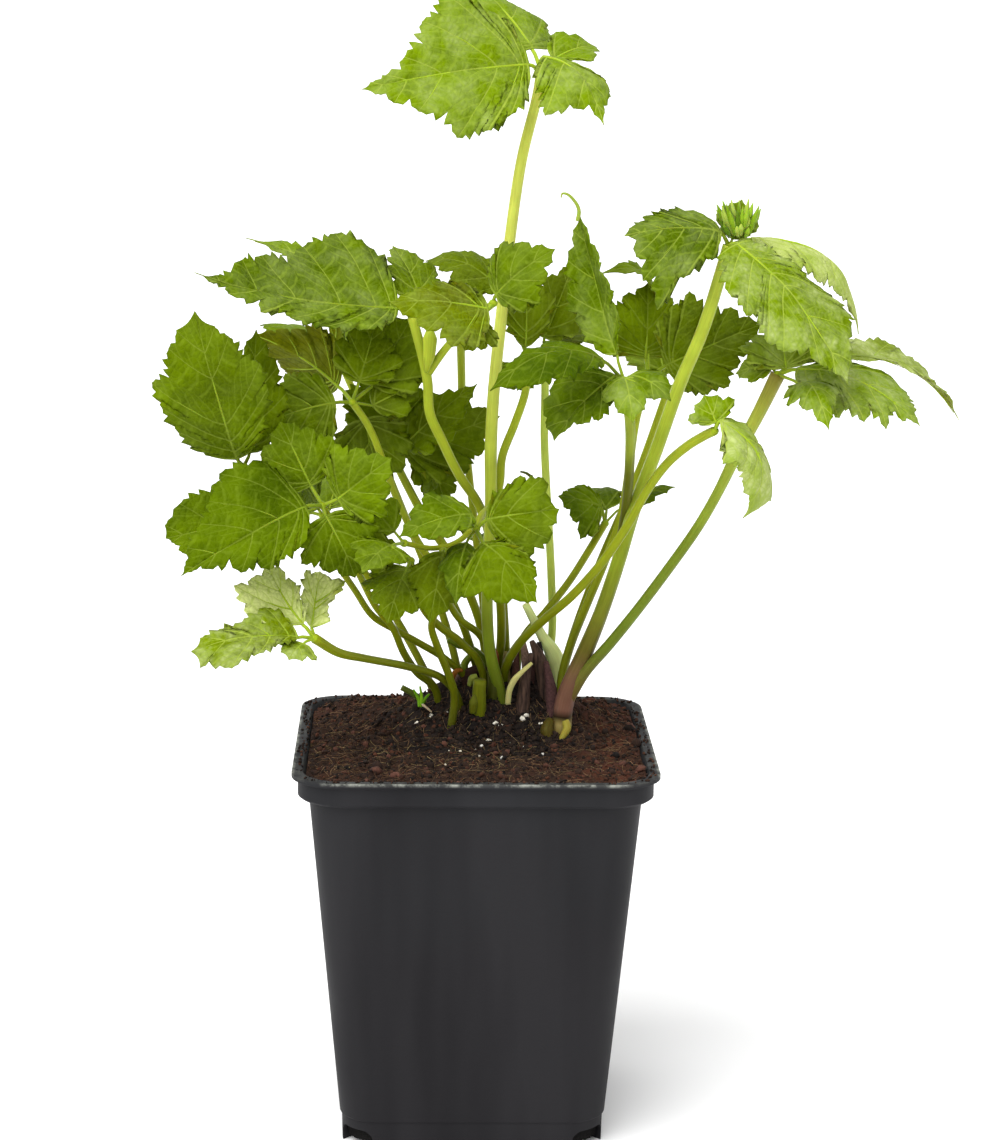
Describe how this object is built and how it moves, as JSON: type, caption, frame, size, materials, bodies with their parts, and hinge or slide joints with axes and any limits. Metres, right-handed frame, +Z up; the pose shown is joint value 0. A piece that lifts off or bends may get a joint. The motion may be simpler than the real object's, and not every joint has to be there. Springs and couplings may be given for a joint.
{
  "type": "potted japanese anemone",
  "caption": "Young Japanese anemone with lobed, toothed leaves on slender stalks, growing in compost in a square black plastic nursery pot.",
  "frame": {"origin": "centre of the pot's flat underside", "axes": "+Z up the pot's axis, -Y towards the viewer of the picture, +X to the viewer's right"},
  "size_m": [0.2482, 0.1409, 0.3501],
  "materials": {
    "pot_plastic": "injection-moulded black polypropylene, satin, a little dusty",
    "compost": "damp peat and bark compost with fibres and perlite",
    "leaf_green": "matt quilted leaf with paler veins and a fine down",
    "stem_green": "smooth yellow-green stem with a fine down",
    "old_sheath": "dry papery brown sheath"
  },
  "bodies": {
    "root": {"pot": "pot_plastic", "compost": "compost", "stalk_top": "stem_green", "stalk_bud": "stem_green", "stalk_right": "stem_green", "arm_bud": "stem_green", "flower_bud": "stem_green", "petiole_far_right": "stem_green", "petiole_mid_right": "stem_green", "petiole_behind_right": "stem_green", "petiole_front_right": "stem_green", "petiole_edge_right": "stem_green", "petiole_middle": "stem_green", "petiole_stalk_side": "stem_green", "petiole_left_low": "stem_green", "petiole_left_upper": "stem_green", "petiole_left_front": "stem_green", "petiole_left_back": "stem_green", "petiole_centre_back": "stem_green", "petiole_centre_front": "stem_green", "petiole_arched_left": "stem_green", "petiole_low_dark": "stem_green", "petiole_low_left": "stem_green", "petiole_curved": "stem_green", "petiole_young": "stem_green", "petiole_hidden": "stem_green", "petiole_rear_left": "stem_green", "petiole_rear_low": "stem_green", "petiole_rear_middle": "stem_green", "petiole_rear_right": "stem_green", "leaf_top": "leaf_green", "leaf_upper_left": "leaf_green", "leaf_upper_middle": "leaf_green", "leaf_right_top": "leaf_green", "leaf_far_right": "leaf_green", "leaf_mid_right": "leaf_green", "leaf_behind_right": "leaf_green", "leaf_front_right": "leaf_green", "leaf_edge_right": "leaf_green", "leaf_left_upper": "leaf_green", "leaf_left_front": "leaf_green", "leaf_left_back": "leaf_green", "leaf_left_low": "leaf_green", "leaf_centre_back": "leaf_green", "leaf_centre_front": "leaf_green", "leaf_arched_left": "leaf_green", "leaf_low_dark": "leaf_green", "leaf_low_left": "leaf_green", "leaf_middle": "leaf_green", "leaf_stalk_side": "leaf_green", "leaf_rear_left": "leaf_green", "leaf_rear_low": "leaf_green", "leaf_rear_middle": "leaf_green", "leaf_rear_right": "leaf_green", "stump_green": "stem_green", "sheath_pale": "stem_green", "sheath_brown_1": "old_sheath", "sheath_brown_2": "old_sheath", "sheath_brown_3": "old_sheath"}
  },
  "joints": []
}
